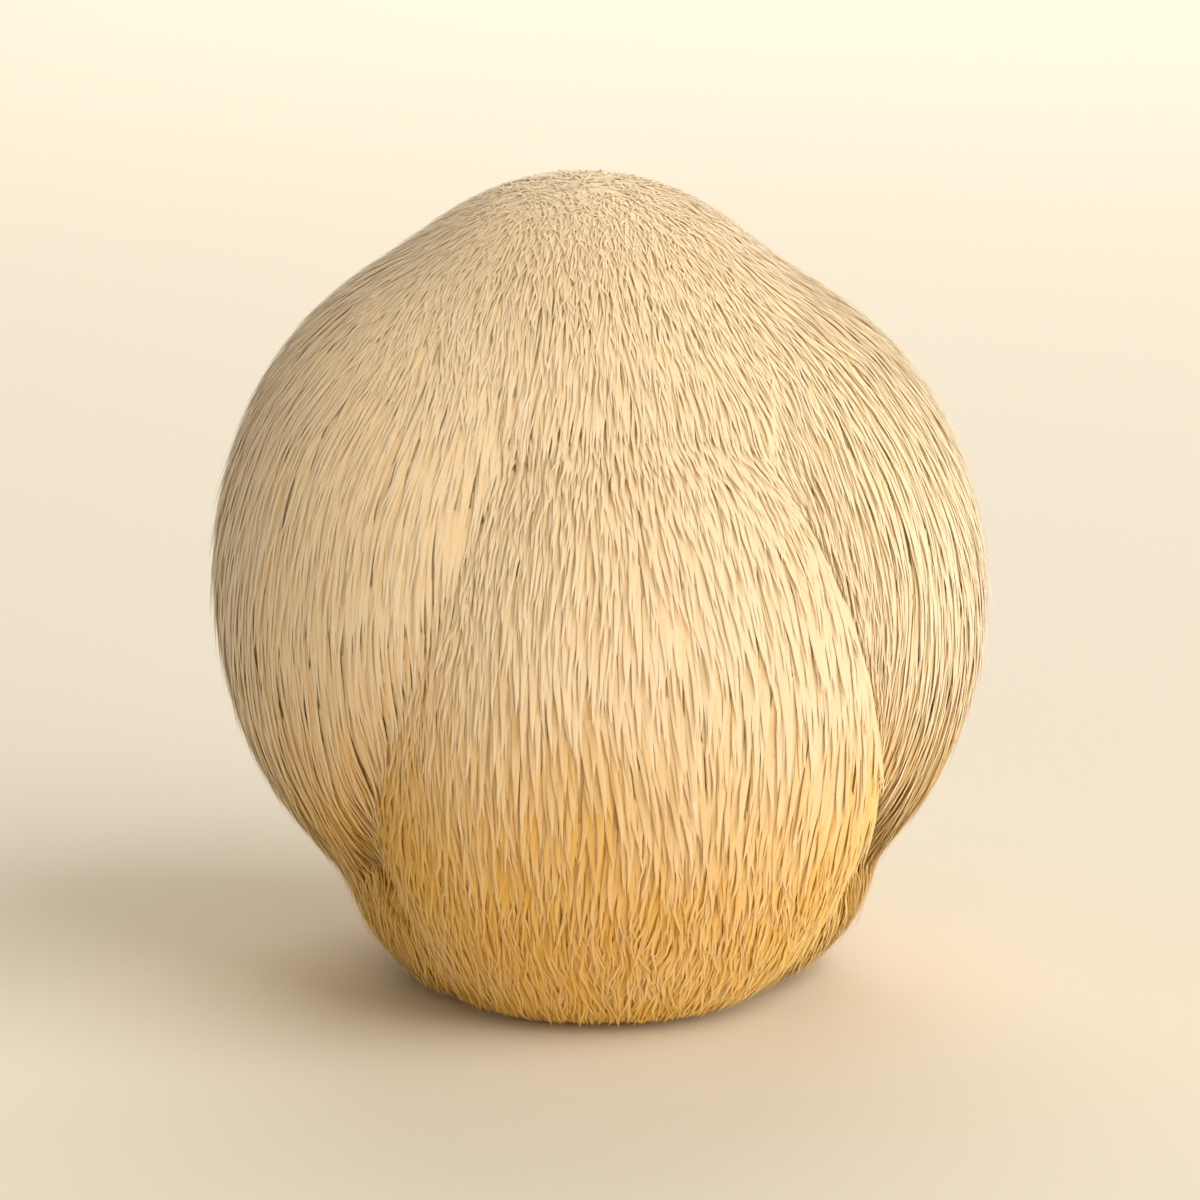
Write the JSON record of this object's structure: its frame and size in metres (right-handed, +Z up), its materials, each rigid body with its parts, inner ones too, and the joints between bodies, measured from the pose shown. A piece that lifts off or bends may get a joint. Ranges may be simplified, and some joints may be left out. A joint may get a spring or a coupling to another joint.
{
  "type": "lions mane mushroom",
  "caption": "Whole rounded lion's mane mushroom of soft bulging lobes under hanging cream spines, cut flat underneath to stand on a table.",
  "frame": {"origin": "middle of the mushroom's box at the plane of the flat cut underside, which is the floor level", "axes": "+Z up from the cut underside to the crown; -Y is the front, where the large central lobe bulges; +X is to the right seen from the front"},
  "size_m": [0.13, 0.12, 0.1359],
  "materials": {
    "flesh": "soft matt cream tissue of hanging spines, golden between them"
  },
  "bodies": {
    "root": {"fruiting_body": "flesh"}
  },
  "joints": []
}
